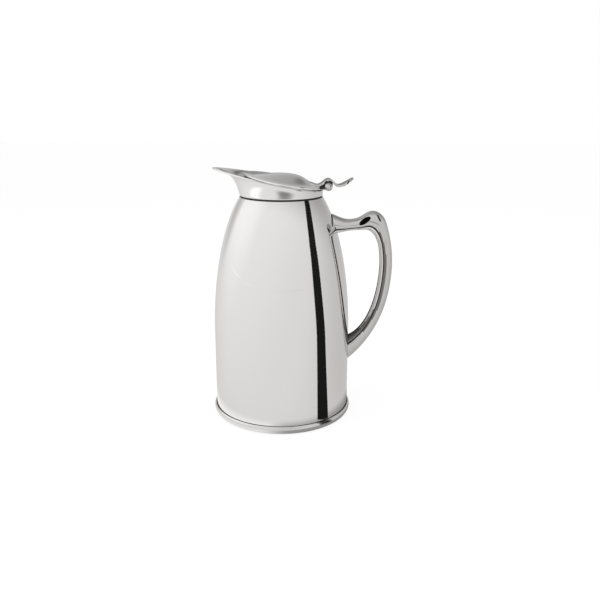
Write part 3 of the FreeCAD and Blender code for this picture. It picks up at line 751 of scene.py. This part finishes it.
turn_of = {vert: turn for row in handle_rows for vert, turn in zip(row, turn_steps)}
for face in handle.faces:
    off_weld = [abs(turn_of[vert] - weld_turn) for vert in face.verts]
    near, far = min(off_weld), max(off_weld)
    # painted shade on the weld and groove bottoms, painted light on the strip, painted shade on the matt flanks
    if far <= weld_half or (near >= strip_half and far <= groove_end):
        face.material_index = PAINTED_SHADE
    elif far <= strip_width(face):
        face.material_index = PAINTED_LIGHT
    elif far <= max(strip_half, flank_width(face)):
        face.material_index = DULL_SHADED
print("faces that are dark, bright and dull:",
      [sum(f.material_index == kind for f in handle.faces) for kind in (PAINTED_SHADE, PAINTED_LIGHT, DULL_SHADED)])

# %% [markdown]
# ## Roots of the handle
# Both roots have to follow the curve of the body. They could be modelled to fit, point by point. The Boolean
# modifier does it in one step: the handle runs on into the body, and the body's form is taken out of it.

# %% Trim the handle to the body
def shaped(bm, cutter):
    """The mesh with the cutter's space taken out of it."""
    work, tool = as_object("handle_blank", bm), as_object("handle_blank_cutter", cutter)
    trim = work.modifiers.new("trim", "BOOLEAN")
    trim.object, trim.operation, trim.solver = tool, "DIFFERENCE", "EXACT"
    trimmed = work.evaluated_get(bpy.context.evaluated_depsgraph_get())
    result = bmesh.new()
    result.from_mesh(trimmed.to_mesh())
    for made in (work, tool):
        bpy.data.objects.remove(made)
    return result


cap(handle, handle_rows[0])
cap(handle, handle_rows[-1])
close_up(handle)
body_side = side_outline(body_radius + fit_gap, collar_radius + fit_gap, shell_bottom, shoulder_top)
body_form = turned([(0, shell_bottom)] + body_side + [(0, shoulder_top)])
close_up(body_form)
handle = shaped(handle, body_form)
print("handle trimmed to the body:", len(handle.faces), "faces")

# %% [markdown]
# ## Wall and vent slot of the handle
# The halves are thin sheet, and a slanting oval slot in the near one lets the handle breathe and stay cool.
# The two root ends are opened, the skin gets its wall inwards, with its inner faces painted dark as shade, and an
# oval bar cuts the slot through it. The slot's lip is rounded, so that it shines beside the dark inside.

# %% Hollow the handle and cut the slot
handle_wall, root_reach = 1.2, 0.3
slot_long, slot_half, slot_tilt, slot_depth = 5.8, 2.3, math.radians(35), 14
slot_lip, slot_margin, lip_from, lip_steps = 0.3, 0.5, math.radians(40), 2
slot_place = Vector((72.5, -4, 176.6))


def against_body(face):
    """Whether a face lies on the body's side."""
    place = face.calc_center_median() / MM
    side_radius = np.interp(place.z, [z for _, z in outside], [x for x, _ in outside])
    return math.hypot(place.x, place.y) < side_radius + root_reach


def on_slot_lip(edge):
    """Whether an edge runs round the slot's mouth on the outside."""
    limit = slot_long + slot_margin
    near = all((vert.co / MM - slot_place).xz.length < limit and vert.co.y < 0 for vert in edge.verts)
    skin = all(face.material_index == 0 for face in edge.link_faces)
    return near and skin and edge.is_manifold and edge.calc_face_angle() > lip_from


bmesh.ops.delete(handle, geom=[f for f in handle.faces if against_body(f)], context="FACES")
close_up(handle)
# the wall's new inner faces take the dark finish: painted shade inside the hollow handle
for part in bmesh.ops.solidify(handle, geom=handle.faces[:], thickness=handle_wall * MM)["geom"]:
    if isinstance(part, bmesh.types.BMFace):
        part.material_index = PAINTED_SHADE
close_up(handle)

slot_bar = bmesh.new()
oval = bmesh.ops.create_circle(slot_bar, segments=40, radius=slot_half * MM, cap_ends=True)["verts"]
bmesh.ops.scale(slot_bar, vec=(slot_long / slot_half, 1, 1), verts=oval)
pushed = bmesh.ops.extrude_face_region(slot_bar, geom=slot_bar.faces[:])["geom"]
bmesh.ops.translate(slot_bar, vec=(0, 0, slot_depth * MM),
                    verts=[g for g in pushed if isinstance(g, bmesh.types.BMVert)])
place = Matrix.Translation(slot_place * MM) @ Matrix.Rotation(-slot_tilt, 4, "Y")
bmesh.ops.transform(slot_bar, matrix=place @ Matrix.Rotation(math.pi / 2, 4, "X"), verts=slot_bar.verts)
close_up(slot_bar)
handle = shaped(handle, slot_bar)
lip = [edge for edge in handle.edges if on_slot_lip(edge)]
soften(handle, lip, slot_lip, lip_steps)
print("edges on the slot's lip:", len(lip))
hang("handle_skin", handle, "polished_steel", "body", "handle_near_half", "handle_far_half",
     finishes=handle_finishes)

# %% [markdown]
# ## Light of the room
# What a mirror shows is the room, so the room's light needs a plan: it is even, lighter towards a window and the
# ceiling on the left, and dimmer behind, mostly on the right. A photographed panorama would do as well. Here each
# part of the room is a soft patch round one direction, so that it can be named and moved.

# %% Helpers for the light of the room
room_level = 0.83
room_parts = {  # towards where, from which agreement on, and how much lighter
    "window": ((-0.81, 0.15, 0.56), 0.67, 0.145),
    "white_ceiling": ((-0.53, -0.06, 0.85), -0.5, 0.13),
    "dim_far_wall": ((0.47, 0.7, -0.54), -0.29, -0.22),
    "dim_far_ceiling": ((0.19, 0.37, 0.91), 0.25, -0.44),
    "dark_door": ((0.39, 0.73, 0.56), 0.97, -0.18),
    "dark_stand": ((-0.66, 0.71, 0.24), 0.93, -0.28),
}


def facing(tree, direction, towards):
    """How far a direction agrees with another, from -1 to 1."""
    aim = Vector(towards).normalized()
    return add_node(tree, "VectorMath", direction, aim, operation="DOT_PRODUCT").outputs["Value"]


def stepped(tree, value, low, high, start, end):
    """A soft step from start to end while the value goes from low to high."""
    step = tree.nodes.new("ShaderNodeMapRange")
    step.interpolation_type = "SMOOTHSTEP"
    wire(tree, step, Value=value, From_Min=low, From_Max=high, To_Min=start, To_Max=end)
    return step.outputs["Result"]


def room_light(tree, direction):
    """How bright the room is in a direction."""
    total = room_level
    for towards, begin, amount in room_parts.values():
        part = stepped(tree, facing(tree, direction, towards), begin, 1.0, 0.0, amount)
        total = add_node(tree, "Math", total, part, operation="ADD").outputs[0]
    return total


def camera_or_mirror(tree):
    """1 for rays that come from the camera, a mirror or glass, and 0 for the rest."""
    path = add_node(tree, "LightPath").outputs
    found = path["Is Camera Ray"]
    for kind in ("Is Glossy Ray", "Is Transmission Ray"):
        found = add_node(tree, "Math", found, path[kind], operation="MAXIMUM").outputs[0]
    return found


def camera_white(tree, strength):
    """The strength as the mirror sees it, but exactly white for the camera."""
    seen = add_node(tree, "LightPath").outputs["Is Camera Ray"]
    return add_node(tree, "Mix", Factor=seen, A=strength, B=1.0).outputs["Result"]


print("parts of the room:", list(room_parts))

# %% [markdown]
# ## Floor
# The jug stands on a wide pale sheet. The sheet shows nearly white to the camera, with a tenth of its real
# shading, so the jug's shadow stays on it. In the mirror it glows like the room, with a painted pool of light close
# to the jug on the left and a painted shadow on the right. A plain white sheet would leave the foot without any
# tone to show.

# %% Lay the floor
sheet_half, paper_color, shading_share = 4, (0.86, 0.86, 0.86, 1), 0.1
jug_middle, near_jug, past_jug = 0.1, 0.07, 0.09
rightward, left_side, right_side, painted_light_gain, painted_shadow_gain = (1, -0.07, 0), -0.017, 0.016, 0.3, -0.5


def bare_finish(name):
    """A material with an empty node tree."""
    finish = bpy.data.materials.new(name)
    finish.use_nodes = True
    finish.node_tree.nodes.clear()
    return finish, finish.node_tree


floor_finish, tree = bare_finish("pale_sheet")
paper = add_node(tree, "BsdfDiffuse", Color=paper_color)
spot = add_node(tree, "TexCoord").outputs["Object"]
below = add_node(tree, "VectorMath", spot, (0, 0, -jug_middle), operation="ADD").outputs["Vector"]
outward = add_node(tree, "VectorMath", below, operation="NORMALIZE").outputs["Vector"]
away = add_node(tree, "VectorMath", spot, operation="LENGTH").outputs["Value"]
# painted light and shadow close to the jug, seen only in mirrors: lighter on the left, darker on the right
close = stepped(tree, away, near_jug, past_jug, 1.0, 0.0)
painted_side_tone = stepped(tree, facing(tree, spot, rightward), left_side, right_side, painted_light_gain, painted_shadow_gain)
painted_light_and_shadow = add_node(tree, "Math", close, painted_side_tone, 1.0, operation="MULTIPLY_ADD").outputs[0]
level = add_node(tree, "Math", room_light(tree, outward), painted_light_and_shadow, operation="MULTIPLY").outputs[0]
glow = add_node(tree, "Emission", Strength=camera_white(tree, level))
seen = add_node(tree, "LightPath").outputs["Is Camera Ray"]
share = add_node(tree, "Math", seen, -shading_share, camera_or_mirror(tree), operation="MULTIPLY_ADD").outputs[0]
blend = add_node(tree, "MixShader", share, paper.outputs[0], glow.outputs[0])
add_node(tree, "OutputMaterial", Surface=blend.outputs[0])
sheet = bmesh.new()
bmesh.ops.create_grid(sheet, x_segments=1, y_segments=1, size=sheet_half)
floor = as_object("floor_sheet", sheet, floor_finish)
print(floor.name, 2 * sheet_half, "m wide")

# %% [markdown]
# ## Room and lamps
# The camera sees a plain white room, mirrors see its lighter and dimmer parts, and everything else gets even
# light. Two large soft lamps, one on the left and one above, give the shadow its direction. They are hidden from
# mirrors, where they would show as discs.

# %% Light the room
WHITE = (1, 1, 1, 1)
world = scene.world = bpy.data.worlds.new("white_room")
world.use_nodes = True
tree = world.node_tree
tree.nodes.clear()
look = add_node(tree, "TexCoord").outputs["Generated"]
room = add_node(tree, "Background", Color=WHITE, Strength=camera_white(tree, room_light(tree, look)))
even = add_node(tree, "Background", Color=WHITE)
pick = add_node(tree, "MixShader", camera_or_mirror(tree), even.outputs[0], room.outputs[0])
add_node(tree, "OutputWorld", Surface=pick.outputs[0])


def soft_lamp(name, place, aim, size, power):
    """A round lamp that shines from a place towards another and doesn't show in mirrors."""
    lamp = bpy.data.lights.new(name, "AREA")
    lamp.shape, lamp.size, lamp.energy = "DISK", size, power
    made = bpy.data.objects.new(name, lamp)
    made.location = place
    made.rotation_euler = (Vector(aim) - Vector(place)).to_track_quat("-Z", "Y").to_euler()
    made.visible_glossy = False
    scene.collection.objects.link(made)


soft_lamp("window_lamp", place=(-0.75, -0.35, 0.62), aim=(0, 0, 0.13), size=0.55, power=5.0)
soft_lamp("ceiling_lamp", place=(0.1, -0.1, 1.3), aim=(0, 0, 0.1), size=0.9, power=6.0)
scene.view_settings.view_transform = "Standard"

# %% [markdown]
# ## A black flag
# A mirror-polished thing in an all-white room has no edges to its form, so a photographer stands a strip of
# black board beside it. Its reflection is the sharp dark stripe down the body. One board would have to be bent
# to follow the stripe's line, so two flat ones share the work: a low one close to the body and a high one
# further out. They are only for the mirror: the camera, the shadows and the soft light don't see them.

# %% Set the flag
beam, across = Vector((0.927, -0.375, 0)), Vector((0.375, 0.927, 0))
wall_point, low_distance, high_distance = Vector((36, -52.5, 0)), 14, 110
flag_level, flag_steps = 0.012, 25


def board_edge(distance, edge):
    """Points along a smooth edge through pairs of sideways and up, at a distance from the body's wall."""
    drop = [edge[0][1] - up for _, up in edge]
    line = curve_through(edge, drop, np.linspace(0, drop[-1], flag_steps))
    return [wall_point + beam * distance + across * sideways + Vector((0, 0, up)) for sideways, up in line]


def stand(name, bm, finish, place=(0, 0, 0), turn=(0, 0, 0)):
    """Puts a mesh into the studio that only mirrors see."""
    made = as_object(name, bm, finish)
    made.location, made.rotation_euler = place, turn
    made.visible_camera = made.visible_diffuse = made.visible_shadow = False


def stand_board(name, distance, *edges):
    """A dark board between two edges, which only mirrors see."""
    finish, tree = bare_finish(name)
    glow = add_node(tree, "Emission", Strength=flag_level)
    add_node(tree, "OutputMaterial", Surface=glow.outputs[0])
    board, _ = drawn_out([board_edge(distance, edge) for edge in edges], closed=False)
    stand(name, board, finish)


stand_board("flag_low", low_distance, [(-0.3, 173.5), (-4.5, 131), (-3.3, 79), (-1, 1)],
            [(11.5, 171), (7.6, 129), (9.1, 78), (15, 1)])
stand_board("flag_high", high_distance, [(48, 323), (5.1, 258), (-17, 193)],
            [(88, 307), (42.9, 247), (19.5, 186)])

# %% [markdown]
# ## Soft cards
# Three more cards give the collar and the lid something to show: a dark one and a white one lying almost level in
# front, which the collar looks down on while the body sees them edge-on, and a grey one upright behind, low above
# the lid's edge. Each fades out towards its rim, so its reflection has no hard outline.

# %% Set the soft cards
def soft_card(name, place, turn, halves, level, fade):
    """An oval card of the given half sizes, full in its middle and clear at its rim; turned by degrees."""
    finish, tree = bare_finish(name)
    spot = add_node(tree, "TexCoord").outputs["Object"]
    shrink = (1 / halves[0], 1 / halves[1], 1)
    scaled = add_node(tree, "VectorMath", spot, shrink, operation="MULTIPLY").outputs["Vector"]
    away = add_node(tree, "VectorMath", scaled, operation="LENGTH").outputs["Value"]
    clear, glow = add_node(tree, "BsdfTransparent"), add_node(tree, "Emission", Strength=level)
    share = stepped(tree, away, 1 - fade, 1.0, 1.0, 0.0)
    blend = add_node(tree, "MixShader", share, clear.outputs[0], glow.outputs[0])
    add_node(tree, "OutputMaterial", Surface=blend.outputs[0])
    card = bmesh.new()
    bmesh.ops.create_grid(card, x_segments=1, y_segments=1, size=1)
    bmesh.ops.scale(card, vec=(*halves, 1), verts=card.verts)
    stand(name, card, finish, place, [math.radians(angle) for angle in turn])


soft_card("card_dark", (0.06, -0.335, 0.1265), (0, 0, 10), halves=(0.19, 0.135), level=0.28, fade=0.8)
soft_card("card_white", (-0.31, -0.12, 0.134), (0, 2.3, -73), halves=(0.19, 0.11), level=1.3, fade=0.85)
soft_card("card_grey", (0.0, 0.4, 0.245), (90, 0, 0), halves=(0.25, 0.045), level=0.3, fade=0.45)

# %% [markdown]
# ## Camera
# The camera stands where the photographer stood: a little above the lid, about 60 cm away, looking slightly
# down. Its place and lens were fitted to the outline of the jug.

# %% Set the camera
camera_place, look_down, roll = (0.016577, -0.606074, 0.278586), 16.134, 0.201
view = bpy.data.cameras.new("photo_camera")
view.sensor_width, view.lens = 36.0, 41.919
camera = bpy.data.objects.new("photo_camera", view)
tilted = Matrix.Rotation(math.radians(90 - look_down), 4, "X") @ Matrix.Rotation(math.radians(roll), 4, "Z")
camera.matrix_world = Matrix.Translation(camera_place) @ tilted
scene.collection.objects.link(camera)
scene.camera = camera
print("camera at", [round(v, 3) for v in camera.location])
